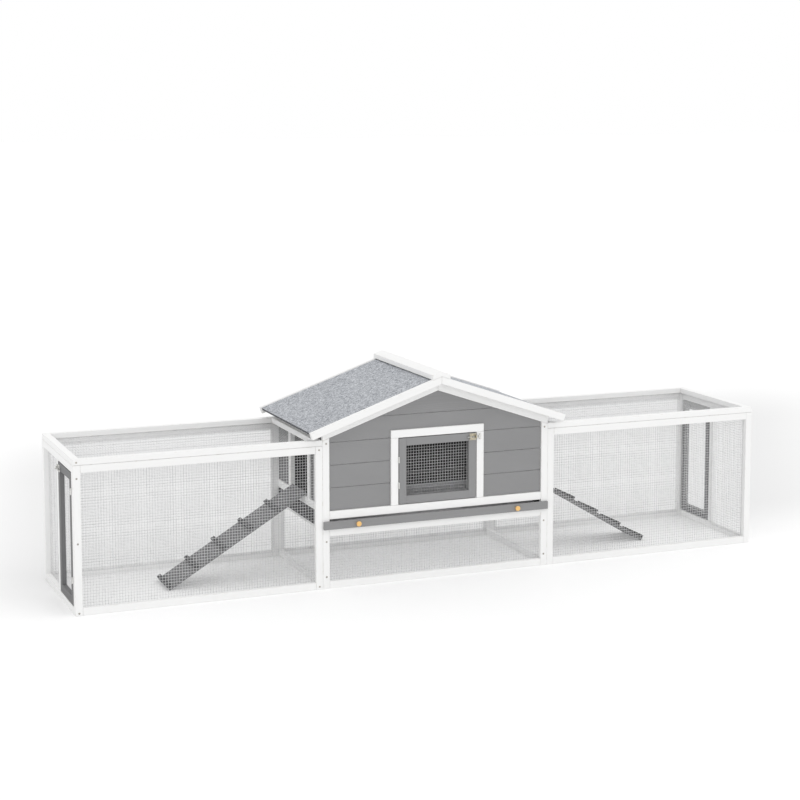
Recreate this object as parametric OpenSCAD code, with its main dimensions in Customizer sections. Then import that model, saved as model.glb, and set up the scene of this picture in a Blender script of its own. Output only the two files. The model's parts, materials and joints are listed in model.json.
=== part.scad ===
// Outdoor rabbit run: a gabled hutch between two low wire-mesh runs.
// The origin is on the ground at the middle of the footprint. +X points right
// as seen from the front, -Y towards the front and +Z up. Millimetres.

/* [Sections] */
// Width of each of the three sections
section_w = 1030; // [900:10:1150]
// Depth of the runs and of the hutch walls
depth = 600; // [560:10:700]
// Height of the side frames of the runs
side_h = 600; // [560:5:650]
// Thickness of the lid frames on the runs
lid_t = 24; // [18:1:28]

/* [Timber] */
// Face width of a frame stick
stick_w = 30; // [26:1:34]
// Thickness of a frame stick
stick_t = 20; // [16:1:24]
// Thickness of the boards that fill a frame
board_t = 10; // [8:1:12]
// Face width of a door stick
door_stick_w = 33; // [28:1:38]
// Thickness of a door stick
door_stick_t = 18; // [14:1:20]

/* [Hutch front] */
// Height of the opening under the hutch floor
under_h = 190; // [150:5:220]
// Height of the slot that the tray slides through
tray_slot_h = 41; // [36:1:50]
// Height of the sill rail under the door
sill_h = 34; // [28:1:40]
// Height of one siding board
siding_pitch = 95; // [70:5:120]
// Width of the groove between two siding boards
siding_groove = 3; // [2:0.5:5]
// Set-back of the siding behind the front of its frame
siding_inset = 8; // [5:1:10]
// Width of the front door
front_door_w = 352; // [300:2:400]
// Height of the front door
front_door_h = 279; // [250:1:290]
// Face width of the surround of the front door
surround_w = 33; // [28:1:40]
// Play all round a door
door_gap = 3; // [2:0.5:4]

/* [Hutch sides] */
// Width of the doorway in each side wall
doorway_w = 212; // [202:2:250]
// Height of the board that hides the side of the tray
skirt_h = 63; // [50:1:70]
// Height of the doorway's head rail at its inner face
head_h = 24; // [18:1:30]
// Width of a run's end door
end_door_w = 242; // [200:2:260]

/* [Roof] */
// Slope of the roof in degrees
roof_slope = 19; // [15:1:24]
// Overhang of the roof past the front and the back wall
roof_over = 40; // [30:1:60]
// Overhang of the roof past each side wall
eave_over = 59; // [45:1:80]
// Gap between a lid and the underside of the roof at the eave
eave_gap = 20.5; // [12:0.5:30]
// Face width of the sloping boards that top each gable wall
gable_trim_w = 41; // [36:1:50]
// Thickness of the roof boards
roof_board_t = 12; // [9:1:16]
// Thickness of the roofing felt
felt_t = 3; // [2:0.5:4]
// How far the felt hangs down over the eave
felt_drop = 7; // [4:1:9]
// Face width of a bargeboard
barge_w = 30; // [26:1:40]
// Thickness of a bargeboard
barge_t = 20; // [14:1:24]
// How far a bargeboard stands above the felt
barge_lip = 5; // [3:1:8]
// How far a bargeboard runs past the felt at the eave
barge_tail = 8; // [4:1:12]
// Width of the ridge cap
cap_w = 80; // [60:2:110]
// Thickness of the ridge cap
cap_t = 19; // [14:1:24]
// Width of the ridge beam under the roof boards
beam_w = 50; // [40:2:60]
// Depth of the ridge beam at its sides
beam_h = 8; // [6:1:12]

/* [Ramps] */
// Width of a ramp
ramp_w = 166; // [140:2:200]
// Length of a ramp from its hinge pin to its foot
ramp_len = 690; // [620:10:760]
// Thickness of a ramp board
ramp_t = 12; // [9:1:15]
// Number of cleats on a ramp
cleat_count = 5; // [4:1:8]
// Distance of the first cleat from the hinge pin
cleat_start = 124; // [90:2:160]
// Width of a cleat
cleat_w = 18; // [12:1:24]
// Height of a cleat
cleat_h = 13; // [6:1:16]

/* [Tray] */
// Height of the tray's front board
tray_front_h = 33; // [28:1:35]
// Thickness of the tray's front board
tray_front_t = 12; // [9:1:15]
// Thickness of the tray's floor and walls
tray_wall = 4; // [3:0.5:6]
// Height of the tray's walls above its floor
tray_rim_h = 14; // [10:1:28]
// Distance of a tray knob from the side of the hutch
knob_inset = 151; // [100:1:200]
// Diameter of a tray knob
knob_d = 22; // [16:1:28]
// Width of a tray runner
runner_w = 34; // [30:1:40]
// Height of a tray runner
runner_h = 20; // [15:1:24]

/* [Mesh] */
// Thickness of the wire
wire_t = 2; // [1.5:0.1:3]
// Spacing of the wires on the frames
net_pitch = 50; // [46:1:80]
// Spacing of the wires on the doors and beside them
door_net_pitch = 25; // [20:1:40]
// How far a mesh panel laps behind its frame
net_lap = 10; // [6:1:14]

/* [Hardware] */
// Length of a door hinge
hinge_len = 26; // [22:1:40]
// Width of a hinge leaf
leaf_w = 16; // [12:1:20]
// Thickness of a hinge leaf
leaf_t = 1.5; // [1:0.1:2]
// Diameter of a hinge barrel
knuckle_d = 6; // [5:0.2:8]
// Diameter of a hinge pin
pin_d = 3; // [2:0.2:4]
// Diameter of a bolt rod
rod_d = 6; // [5:0.2:7]
// Travel of a bolt
bolt_travel = 13; // [11:0.5:14]
// Width of a bolt's plate
bolt_plate_w = 30; // [28:1:32]
// Height of a bolt's plate
bolt_plate_h = 28; // [26:1:36]
// Width of a keeper's plate
keeper_w = 16; // [14:1:20]
// Height of a keeper's plate
keeper_h = 27; // [20:1:32]
// Diameter of a screw head
head_d = 8; // [6:0.5:10]
// Diameter of a screw shank
shank_d = 3.5; // [3:0.5:5]
// Length of a screw shank
shank_len = 16; // [10:1:18]

/* [Hidden] */
$fn = 48;

// Paint and metal, as the object shows them
white_paint = [0.95, 0.95, 0.94];
grey_paint = [0.57, 0.57, 0.58];
felt_grey = [0.62, 0.64, 0.67];
wire_zinc = [0.78, 0.79, 0.80];
bright_zinc = [0.80, 0.80, 0.79];
brass = [0.80, 0.68, 0.40];
tray_zinc = [0.75, 0.76, 0.77];
bare_pine = [0.95, 0.72, 0.38];

// Fits: a glued or screwed joint, a loose fit, a running fit and the seam under a lid
joint = 0.2;
fit = 0.3;
running = 0.08;
lid_play = 0.6;

// Plan: half widths and half depths of the object
hutch_x = section_w / 2;
run_x = hutch_x + section_w;
wall_y = depth / 2;
inner_y = wall_y - stick_t;
corner_y = wall_y - stick_w;
post_x = hutch_x - stick_w;
side_x = hutch_x - stick_t;
run_in_x = run_x - stick_t;
post_notch = stick_w - stick_t + fit;

// Heights of the hutch front
low_rail_z = stick_w + under_h;
low_rail_top = low_rail_z + stick_w;
sill_z = low_rail_top + tray_slot_h;
floor_line = sill_z + sill_h;
skirt_top = low_rail_top + skirt_h;
side_sill_top = skirt_top + sill_h;

// Roof: the underside of the roof boards is a line that falls from the apex
fall = tan(roof_slope);
apex = side_h + lid_t + eave_gap + fall * (hutch_x + eave_over);
trim_drop = gable_trim_w / cos(roof_slope);
roof_y = wall_y + roof_over;
panel_y = roof_y - barge_t;
felt_top = roof_board_t + felt_t;
barge_top = felt_top + barge_lip;
beam_bottom = apex - fall * beam_w / 2 - beam_h;
head_z = apex - fall * side_x - head_h;

// Doors: the hinge pin of each lies in the middle of the play beside the door
pin_out = knuckle_d / 2;
front_open_x = front_door_w / 2 + door_gap;
front_open_top = floor_line + front_door_h + 2 * door_gap;
front_pin_x = -front_door_w / 2 - door_gap / 2;
front_catch_x = -front_pin_x;
front_door_z = floor_line + door_gap;
mullion_y = -corner_y + end_door_w + 2 * door_gap;
end_pin_y = -corner_y + door_gap / 2;
end_catch_y = mullion_y - door_gap / 2;
end_door_z = stick_w + door_gap;
end_door_h = side_h - 2 * (stick_w + door_gap);
front_hinge_z = [floor_line + 70, floor_line + 179];
end_hinge_z = [125, 480];
front_bolt_z = front_door_z + front_door_h - door_stick_w / 2;
end_bolt_z = end_door_z + end_door_h - 26;

// Bolt: guide loops stand on the plate and the rod slides through them
rod_out = 6;
loop_h = 11;
loop_out = rod_out + rod_d / 2 + 1.5;
loop_t = 4.5;
case_edge = door_gap / 2 + 0.5;
peg_d = 4;
peg_out = 17;
peg_x = case_edge + loop_t + bolt_travel + peg_d / 2 + 1;
keeper_x = door_gap / 2 + 4;
bridge_x = keeper_x + 1.5;

// Ramp: the pin lies on the doorway's sill, the board passes over it and its foot
// stands on the ground
ramp_pin_x = hutch_x - knuckle_d / 2;
ramp_pin_z = side_sill_top + knuckle_d / 2;
ramp_under = knuckle_d / 2 + fit;
ramp_top = ramp_under + ramp_t;
ramp_head = -6;
ramp_angle = asin(ramp_pin_z / sqrt(ramp_len * ramp_len + ramp_under * ramp_under))
    + atan(ramp_under / ramp_len);
ramp_hinge_y = ramp_w / 2 - 50;

// Tray: it slides between the posts, over the lower front rail
pan_x = post_x - 3;
pan_z = low_rail_top + 2;
pan_back_y = inner_y - 2;
runner_top = pan_z - fit;

// Screws: across the sticks, measured on the front of the object
run_screw_z = [10, side_h * 0.48, side_h - 52];
run_inner_screw_z = [12, side_h - 15];
hutch_screw_z = [50, low_rail_z - 22, side_h + lid_t - 15];

// ---- Shapes used by several pieces -------------------------------------

// A box between two opposite corners
module span(a, b) {
    translate([min(a[0], b[0]), min(a[1], b[1]), min(a[2], b[2])])
        cube([abs(b[0] - a[0]), abs(b[1] - a[1]), abs(b[2] - a[2])]);
}

// A profile drawn in X and Z, extruded along Y
module along_y(y0, y1) {
    translate([0, y1, 0]) rotate([90, 0, 0]) linear_extrude(y1 - y0) children();
}

// Both ends of a pair that is mirrored left and right, or front and back
module both_sides() {
    children();
    mirror([1, 0, 0]) children();
}

module front_and_back() {
    children();
    mirror([0, 1, 0]) children();
}

// The underside of the roof boards at a distance from the middle
function roof_line(x) = apex - fall * abs(x);

// A layer of the right roof slope, from n0 to n1 above its underside
function roof_layer(n0, n1, reach) = [
    [joint / 2, roof_line(joint / 2) + n0 / cos(roof_slope)],
    [joint / 2, roof_line(joint / 2) + n1 / cos(roof_slope)],
    [reach + n1 * sin(roof_slope), roof_line(reach) + n1 * cos(roof_slope)],
    [reach + n0 * sin(roof_slope), roof_line(reach) + n0 * cos(roof_slope)],
];

// A flat grid of welded wires, w by h, with near-square cells
module net(w, h, pitch) {
    columns = max(1, round(w / pitch));
    rows = max(1, round(h / pitch));
    cell_w = (w - wire_t) / columns;
    cell_h = (h - wire_t) / rows;
    linear_extrude(wire_t) difference() {
        square([w, h]);
        for (i = [0 : columns - 1], j = [0 : rows - 1])
            translate([wire_t + i * cell_w, wire_t + j * cell_h])
                square([cell_w - wire_t, cell_h - wire_t]);
    }
}

// A net that faces the front, and one that faces a side; each starts at y or x
module net_front(x0, x1, z0, z1, y, pitch) {
    translate([x0, y + wire_t, z0]) rotate([90, 0, 0]) net(x1 - x0, z1 - z0, pitch);
}

module net_side(y0, y1, z0, z1, x, pitch) {
    translate([x, y0, z0]) rotate([90, 0, 90]) net(y1 - y0, z1 - z0, pitch);
}

// Two stiles with two rails between them, in X and Z, from y to y + t
module stick_frame(w, h, stick, t) {
    for (x = [0, w - stick]) span([x, 0, 0], [x + stick, t, h]);
    for (z = [0, h - stick]) span([stick + joint, 0, z], [w - stick - joint, t, z + stick]);
}

// Puts what is drawn for the front plane on the left end plane: X becomes Y
module on_left_end() {
    mirror([1, -1, 0]) children();
}

module on_right_end() {
    rotate([0, 0, 180]) on_left_end() children();
}

// ---- Hardware -----------------------------------------------------------

// Heights of the knuckles on a hinge's fixed leaf and on its moving leaf
fixed_knuckles = [[0, hinge_len / 3 - fit], [hinge_len * 2 / 3 + fit, hinge_len]];
moving_knuckles = [[hinge_len / 3, hinge_len * 2 / 3]];

module barrel(knuckles) {
    for (k = knuckles) translate([0, 0, k[0]]) cylinder(d = knuckle_d, h = k[1] - k[0]);
}

// A door hinge's leaf. The pin is on Z and the leaf stands in the play beside the
// door, flat on the door's edge for side +1 and on its frame for side -1.
module edge_leaf(side, knuckles) {
    span([side * fit, knuckle_d / 2 + fit, 0], [side * door_gap / 2, leaf_w, hinge_len]);
    for (k = knuckles) span([side * fit, 0, k[0]], [side * door_gap / 2, knuckle_d / 2 + fit, k[1]]);
    barrel(knuckles);
}

// A ramp hinge's leaf. The pin is on Z and the leaf lies on a surface at Y = out
module flat_leaf(side, out, knuckles) {
    span([side * (knuckle_d / 2 + fit), out - leaf_t, 0], [side * leaf_w, out, hinge_len]);
    for (k = knuckles) span([0, out - leaf_t, k[0]], [side * (knuckle_d / 2 + fit), out, k[1]]);
    barrel(knuckles);
}

module with_pin() {
    children();
    cylinder(d = pin_d, h = hinge_len);
}

module with_bore() {
    difference() {
        children();
        translate([0, 0, -1]) cylinder(d = pin_d + 2 * running, h = hinge_len + 2);
    }
}

module fixed_leaf() {
    with_pin() edge_leaf(-1, fixed_knuckles);
}

module moving_leaf() {
    with_bore() edge_leaf(1, moving_knuckles);
}

// A guide loop on the bolt's plate, bored for the rod
module guide_loop(x) {
    difference() {
        span([x, -loop_out, -loop_h / 2], [x + loop_t, 0, loop_h / 2]);
        translate([x - 1, -rod_out, 0]) rotate([0, 90, 0]) cylinder(d = rod_d + 2 * running, h = loop_t + 2);
    }
}

// The bolt's plate with its two loops. The middle of the play beside the door
// is at X = 0, the door's surface at Y = 0 and the rod's axis at Z = 0.
module bolt_case() {
    span([-case_edge - bolt_plate_w, -leaf_t, -bolt_plate_h / 2], [-case_edge, 0, bolt_plate_h / 2]);
    guide_loop(-case_edge - loop_t);
    guide_loop(-case_edge - bolt_plate_w);
}

// The rod with its finger peg, drawn back
module bolt_rod() {
    tail = case_edge + bolt_plate_w + bolt_travel - 1;
    translate([-tail, -rod_out, 0]) rotate([0, 90, 0]) cylinder(d = rod_d, h = tail - door_gap / 2);
    translate([-peg_x, -rod_out, 0]) rotate([90, 0, 0]) cylinder(d = peg_d, h = peg_out - rod_out);
}

// The keeper's plate with a square bridge, which the rod slides under
module bolt_keeper() {
    span([keeper_x, -leaf_t, -keeper_h / 2], [keeper_x + keeper_w, 0, keeper_h / 2]);
    difference() {
        span([bridge_x, -loop_out, -loop_h / 2], [bridge_x + loop_t, 0, loop_h / 2]);
        span([keeper_x, -rod_out - rod_d / 2 - fit, -rod_d / 2 - fit],
            [keeper_x + keeper_w, -leaf_t, rod_d / 2 + fit]);
    }
}

// A screw that goes in along +Y, with its low head on the surface
module screw() {
    rotate([-90, 0, 0]) cylinder(d = shank_d, h = shank_len);
    rotate([90, 0, 0]) cylinder(d1 = head_d, d2 = head_d * 0.7, h = 1.2);
}

module screw_hole() {
    translate([0, -1, 0]) rotate([-90, 0, 0]) cylinder(d = shank_d + 2 * running, h = shank_len + 1 + fit);
}

// Every screw place on the front: two posts of the hutch, the left run's two
// uprights and the outer end of its lid
module hutch_screw_places() {
    for (z = hutch_screw_z) translate([-hutch_x + stick_w / 2 + 1, -wall_y, z]) children();
}

module run_screw_places() {
    for (z = run_screw_z) translate([-run_x + stick_w / 2, -wall_y, z]) children();
    for (z = run_inner_screw_z) translate([-hutch_x - stick_w / 2, -wall_y, z]) children();
}

module lid_screw_places() {
    translate([-run_x + stick_w / 2, -wall_y, side_h + lid_t / 2]) children();
}

// ---- Hutch: walls -------------------------------------------------------

// One long wall of the hutch: two posts, the bottom rail, the rail under the
// tray and the sill rail
module wall_frame() {
    difference() {
        union() {
            both_sides() along_y(-wall_y, -inner_y)
                polygon([[-hutch_x, 0], [-post_x, 0],
                    [-post_x, roof_line(post_x) - trim_drop - joint],
                    [-hutch_x, roof_line(hutch_x) - trim_drop - joint]]);
            for (rail = [[0, stick_w], [low_rail_z, low_rail_top], [sill_z, floor_line]])
                span([-post_x + joint, -wall_y, rail[0]], [post_x - joint, -inner_y, rail[1]]);
        }
        both_sides() hutch_screw_places() screw_hole();
    }
}

module front_frame() {
    color(white_paint) wall_frame();
}

module back_frame() {
    color(white_paint) mirror([0, 1, 0]) wall_frame();
}

// Gable wall inside its frame, less an opening for the door
module gable_outline(open_x, open_top) {
    difference() {
        polygon([[-post_x + fit, floor_line + fit], [post_x - fit, floor_line + fit],
            [post_x - fit, roof_line(post_x) - trim_drop - fit], [0, apex - trim_drop - fit],
            [-post_x + fit, roof_line(post_x) - trim_drop - fit]]);
        if (open_x > 0)
            translate([-open_x, 0]) square([2 * open_x, open_top]);
    }
}

// Tongued boards laid across the gable wall, with a groove at each joint
module siding(open_x, open_top) {
    front = -wall_y + siding_inset;
    boards = ceil((apex - trim_drop - floor_line) / siding_pitch);
    for (i = [0 : boards - 1]) {
        z = floor_line + i * siding_pitch;
        intersection() {
            along_y(-wall_y, -inner_y) gable_outline(open_x, open_top);
            union() {
                span([-post_x, front, z + siding_groove], [post_x, front + board_t, z + siding_pitch - joint]);
                span([-post_x, front + board_t / 2, z + joint],
                    [post_x, front + board_t, z + siding_groove]);
            }
        }
    }
}

module front_siding() {
    color(grey_paint) siding(front_open_x + surround_w + fit, front_open_top + surround_w + fit);
}

// The back has one more board, which closes the slot behind the tray
module back_siding() {
    color(grey_paint) mirror([0, 1, 0]) {
        siding(0, 0);
        span([-post_x + fit, -wall_y + siding_inset, low_rail_top + fit],
            [post_x - fit, -wall_y + siding_inset + board_t, sill_z - fit]);
    }
}

module door_surround() {
    color(white_paint) {
        both_sides() span([front_open_x, -wall_y, floor_line + joint],
            [front_open_x + surround_w, -inner_y, front_open_top - joint]);
        span([-front_open_x - surround_w, -wall_y, front_open_top],
            [front_open_x + surround_w, -inner_y, front_open_top + surround_w]);
    }
}

// Sloping boards that close each gable wall under the roof, notched for the beam
module gable_trims() {
    color(white_paint) front_and_back() both_sides() along_y(-wall_y, -inner_y) difference() {
        polygon([[joint / 2, apex - trim_drop], [joint / 2, apex - joint],
            [hutch_x, roof_line(hutch_x) - joint], [hutch_x, roof_line(hutch_x) - trim_drop]]);
        translate([0, beam_bottom - joint]) square([beam_w / 2 + joint, apex]);
    }
}

// Side wall of the hutch: bottom rail, sill beam, two jambs and the head rail
module side_frame() {
    span([-hutch_x, -inner_y, 0], [-side_x, inner_y, stick_w]);
    span([-hutch_x, -inner_y, skirt_top], [-side_x, inner_y, side_sill_top]);
    front_and_back() span([-hutch_x, -doorway_w / 2, side_sill_top + joint],
        [-side_x, -doorway_w / 2 - stick_w, head_z - joint]);
    along_y(-inner_y, inner_y) polygon([[-hutch_x, head_z], [-side_x, head_z],
        [-side_x, roof_line(side_x) - joint], [-hutch_x, roof_line(hutch_x) - joint]]);
}

module side_frames() {
    color(white_paint) both_sides() side_frame();
}

// Boards beside each doorway, and the skirts that hide the sides of the tray
module side_panels() {
    color(grey_paint) both_sides() front_and_back()
        span([-hutch_x + (stick_t - board_t) / 2, -inner_y + fit, side_sill_top + fit],
            [-side_x - (stick_t - board_t) / 2, -doorway_w / 2 - stick_w - fit, head_z - fit]);
}

module tray_skirts() {
    color(grey_paint) both_sides()
        span([-hutch_x, -inner_y + fit, low_rail_top], [-hutch_x + board_t, inner_y - fit, skirt_top]);
}

module tray_runners() {
    color(white_paint) both_sides()
        span([-hutch_x + board_t, -inner_y, runner_top - runner_h],
            [-hutch_x + board_t + runner_w, inner_y, runner_top]);
}

module underfloor_meshes() {
    color(wire_zinc) front_and_back()
        net_front(-side_x + fit, side_x - fit, stick_w - net_lap, low_rail_z + net_lap,
            -inner_y, net_pitch);
}

// ---- Hutch: roof --------------------------------------------------------

module ridge_beam() {
    half = beam_w / 2;
    color(white_paint) along_y(-panel_y, panel_y)
        polygon([[-half, beam_bottom], [half, beam_bottom], [half, roof_line(half) - joint],
            [0, apex - joint], [-half, roof_line(half) - joint]]);
}

module roof_panel() {
    color(white_paint) along_y(-panel_y, panel_y)
        polygon(roof_layer(0, roof_board_t, hutch_x + eave_over - barge_tail));
}

module roof_right_panel() {
    roof_panel();
}

module roof_left_panel() {
    mirror([1, 0, 0]) roof_panel();
}

// Felt on both slopes, turned down over the edge of the boards at the eaves
module roof_felt() {
    reach = hutch_x + eave_over - barge_tail;
    color(felt_grey) both_sides() along_y(-panel_y + fit, panel_y - fit) union() {
        polygon(roof_layer(roof_board_t + joint, felt_top, reach + joint));
        translate([reach, roof_line(reach)]) rotate(-roof_slope)
            translate([joint, roof_board_t - felt_drop]) square([felt_t, felt_t + felt_drop]);
    }
}

module bargeboards() {
    color(white_paint) front_and_back() both_sides() along_y(-roof_y, -panel_y)
        polygon(roof_layer(barge_top - barge_w, barge_top, hutch_x + eave_over));
}

// Two boards in one: a folded cap that bears on the bargeboards
module ridge_cap() {
    half = cap_w / 2;
    rise = (barge_top + joint) / cos(roof_slope);
    thick = cap_t / cos(roof_slope);
    color(white_paint) along_y(-roof_y, roof_y)
        polygon([[-half, roof_line(half) + rise], [0, apex + rise], [half, roof_line(half) + rise],
            [half, roof_line(half) + rise + thick], [0, apex + rise + thick],
            [-half, roof_line(half) + rise + thick]]);
}

// ---- Runs ---------------------------------------------------------------

// Long side frame of the left run, at the front. Only the frame on the side of
// the end door's hinges is screwed to the posts from outside.
module run_long_frame(screwed) {
    color(white_paint) difference() {
        union() {
            span([-run_x, -wall_y, 0], [-run_x + stick_w, -corner_y, side_h]);
            span([-hutch_x - stick_w, -wall_y, 0], [-hutch_x, -inner_y, side_h]);
            for (z = [0, side_h - stick_w])
                span([-run_x + stick_w + joint, -wall_y, z],
                    [-hutch_x - stick_w - joint, -inner_y, z + stick_w]);
        }
        if (screwed) run_screw_places() screw_hole();
    }
}

// End frame of the left run: two rails and the mullion that the door shuts on
module run_end_frame() {
    color(white_paint) {
        for (z = [0, side_h - stick_w])
            span([-run_x, -corner_y + joint, z], [-run_in_x, corner_y - joint, z + stick_w]);
        span([-run_x, mullion_y, stick_w + joint],
            [-run_in_x, mullion_y + stick_w, side_h - stick_w - joint]);
    }
}

// Lid of the left run: two long rails with two short rails between them
module run_lid_frame() {
    color(white_paint) difference() {
        union() {
            front_and_back()
                span([-run_x, -wall_y, side_h + lid_play], [-hutch_x, -corner_y, side_h + lid_t]);
            for (x = [-run_x, -hutch_x - stick_w])
                span([x, -corner_y + joint, side_h + lid_play],
                    [x + stick_w, corner_y - joint, side_h + lid_t]);
        }
        lid_screw_places() screw_hole();
    }
}

module run_long_mesh() {
    color(wire_zinc) net_front(-run_x + stick_w + fit, -hutch_x - stick_w + net_lap,
        stick_w - net_lap, side_h - stick_w + net_lap, -inner_y, net_pitch);
}

module run_end_mesh() {
    color(wire_zinc) net_side(mullion_y + stick_w - net_lap, corner_y - fit,
        stick_w - net_lap, side_h - stick_w + net_lap, -run_in_x, door_net_pitch);
}

// The lid's mesh is fixed under it, inside the side frames, and cut round the corner posts
module run_lid_mesh() {
    color(wire_zinc) translate([-run_in_x + fit, -inner_y + fit, side_h - wire_t]) difference() {
        net(run_in_x - hutch_x - 2 * fit, 2 * (inner_y - fit), net_pitch);
        for (y = [0, 2 * (inner_y - fit) - post_notch])
            translate([-1, y - 1, -1]) cube([post_notch + 1, post_notch + 2, wire_t + 2]);
    }
}

module left_run_front_frame() {
    run_long_frame(true);
}

module left_run_back_frame() {
    mirror([0, 1, 0]) run_long_frame(false);
}

module left_run_end_frame() {
    run_end_frame();
}

module left_run_lid_frame() {
    run_lid_frame();
}

module left_run_front_mesh() {
    run_long_mesh();
}

module left_run_back_mesh() {
    mirror([0, 1, 0]) run_long_mesh();
}

module left_run_end_mesh() {
    run_end_mesh();
}

module left_run_lid_mesh() {
    run_lid_mesh();
}

// The right run is the left one turned round, so its door is at the back
module right_run_front_frame() {
    mirror([1, 0, 0]) run_long_frame(false);
}

module right_run_back_frame() {
    rotate([0, 0, 180]) run_long_frame(true);
}

module right_run_end_frame() {
    rotate([0, 0, 180]) run_end_frame();
}

module right_run_lid_frame() {
    rotate([0, 0, 180]) run_lid_frame();
}

module right_run_front_mesh() {
    mirror([1, 0, 0]) run_long_mesh();
}

module right_run_back_mesh() {
    rotate([0, 0, 180]) run_long_mesh();
}

module right_run_end_mesh() {
    rotate([0, 0, 180]) run_end_mesh();
}

module right_run_lid_mesh() {
    rotate([0, 0, 180]) run_lid_mesh();
}

// ---- Hardware that stays on the frames ----------------------------------

module front_hinge_places() {
    for (z = front_hinge_z) translate([front_pin_x, -wall_y - pin_out, z]) children();
}

// Drawn with X for Y: on_left_end() turns these to the end plane
module end_hinge_places() {
    for (z = end_hinge_z) translate([end_pin_y, -run_x - pin_out, z]) children();
}

module front_bolt_place() {
    translate([front_catch_x, -wall_y, front_bolt_z]) children();
}

module end_bolt_place() {
    translate([end_catch_y, -run_x, end_bolt_z]) children();
}

// The left ramp's hinge places: the pin lies along Y, the leaf on the sill
module ramp_hinge_places() {
    for (y = [-ramp_hinge_y, ramp_hinge_y])
        translate([-ramp_pin_x, y + hinge_len / 2, ramp_pin_z]) children();
}

// The leaf on the sill, its surface side down, and the leaf under the board, its
// surface side up; the pin of both lies along Y
module sill_leaf() {
    rotate([90, 0, 0]) mirror([0, 1, 0]) with_pin() flat_leaf(1, knuckle_d / 2, fixed_knuckles);
}

module ramp_leaf() {
    rotate([0, -ramp_angle, 0]) rotate([90, 0, 0]) with_bore() flat_leaf(-1, ramp_under, moving_knuckles);
}

module fixed_hinge_leaves() {
    color(bright_zinc) {
        front_hinge_places() fixed_leaf();
        on_left_end() end_hinge_places() fixed_leaf();
        on_right_end() end_hinge_places() fixed_leaf();
        both_sides() ramp_hinge_places() sill_leaf();
    }
}

module bolt_keepers() {
    color(bright_zinc) {
        front_bolt_place() bolt_keeper();
        on_left_end() end_bolt_place() bolt_keeper();
        on_right_end() end_bolt_place() bolt_keeper();
    }
}

module frame_screws() {
    color(brass) {
        front_and_back() both_sides() hutch_screw_places() screw();
        for (turn = [0, 180]) rotate([0, 0, turn]) {
            run_screw_places() screw();
            lid_screw_places() screw();
        }
    }
}

// ---- Doors --------------------------------------------------------------

module front_door_frame() {
    color(grey_paint) translate([-front_door_w / 2, -wall_y, front_door_z])
        stick_frame(front_door_w, front_door_h, door_stick_w, door_stick_t);
}

module front_door_mesh() {
    lap = door_stick_w - net_lap;
    color(wire_zinc) net_front(-front_door_w / 2 + lap, front_door_w / 2 - lap,
        front_door_z + lap, front_door_z + front_door_h - lap, -wall_y + door_stick_t, door_net_pitch);
}

module front_door_hinge_leaves() {
    color(bright_zinc) front_hinge_places() moving_leaf();
}

module front_door_bolt_case() {
    color(brass) front_bolt_place() bolt_case();
}

module front_door_bolt() {
    color(bright_zinc) front_bolt_place() bolt_rod();
}

// The end door is drawn with X for Y, as its hinges are
module end_door_frame() {
    color(grey_paint) translate([-corner_y + door_gap, -run_x, end_door_z])
        stick_frame(end_door_w, end_door_h, door_stick_w, door_stick_t);
}

module end_door_mesh() {
    lap = door_stick_w - net_lap;
    color(wire_zinc) net_front(-corner_y + door_gap + lap, -corner_y + door_gap + end_door_w - lap,
        end_door_z + lap, end_door_z + end_door_h - lap, -run_x + door_stick_t, door_net_pitch);
}

module left_door_frame() {
    on_left_end() end_door_frame();
}

module left_door_mesh() {
    on_left_end() end_door_mesh();
}

module left_door_hinge_leaves() {
    color(bright_zinc) on_left_end() end_hinge_places() moving_leaf();
}

module left_door_bolt_case() {
    color(brass) on_left_end() end_bolt_place() bolt_case();
}

module left_door_bolt() {
    color(bright_zinc) on_left_end() end_bolt_place() bolt_rod();
}

module right_door_frame() {
    on_right_end() end_door_frame();
}

module right_door_mesh() {
    on_right_end() end_door_mesh();
}

module right_door_hinge_leaves() {
    color(bright_zinc) on_right_end() end_hinge_places() moving_leaf();
}

module right_door_bolt_case() {
    color(brass) on_right_end() end_bolt_place() bolt_case();
}

module right_door_bolt() {
    color(bright_zinc) on_right_end() end_bolt_place() bolt_rod();
}

// ---- Tray ---------------------------------------------------------------

// A shallow pan: the floor with four low walls
module tray_pan() {
    color(tray_zinc) difference() {
        span([-pan_x, -wall_y, pan_z], [pan_x, pan_back_y, pan_z + tray_wall + tray_rim_h]);
        span([-pan_x + tray_wall, -wall_y + tray_wall, pan_z + tray_wall],
            [pan_x - tray_wall, pan_back_y - tray_wall, pan_z + tray_wall + tray_rim_h + 1]);
    }
}

module tray_front() {
    color(grey_paint) span([-hutch_x + 2, -wall_y - tray_front_t, low_rail_top + 0.5],
        [hutch_x - 2, -wall_y, low_rail_top + 0.5 + tray_front_h]);
}

// Turned wooden knobs: a short neck and a rounded head
module tray_knobs() {
    neck = knob_d * 0.25;
    head = knob_d / 2;
    color(bare_pine) both_sides()
        translate([hutch_x - knob_inset, -wall_y - tray_front_t, low_rail_top + 0.5 + tray_front_h / 2])
            rotate([90, 0, 0]) rotate_extrude() difference() {
                union() {
                    square([neck, head]);
                    translate([0, head * 0.9]) scale([1, 0.6]) circle(r = head);
                }
                translate([-knob_d, -knob_d]) square([knob_d, 3 * knob_d]);
                translate([-knob_d, -knob_d]) square([2 * knob_d, knob_d]);
            }
}

// ---- Ramps --------------------------------------------------------------

// The left ramp's own frame: X runs from the hinge pin down to the foot, and
// the board lies above the pin
module on_left_ramp() {
    translate([-ramp_pin_x, 0, ramp_pin_z]) rotate([0, -ramp_angle, 0]) mirror([1, 0, 0]) children();
}

module ramp_board() {
    color(grey_paint) on_left_ramp()
        span([ramp_head, -ramp_w / 2, ramp_under], [ramp_len, ramp_w / 2, ramp_top]);
}

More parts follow.
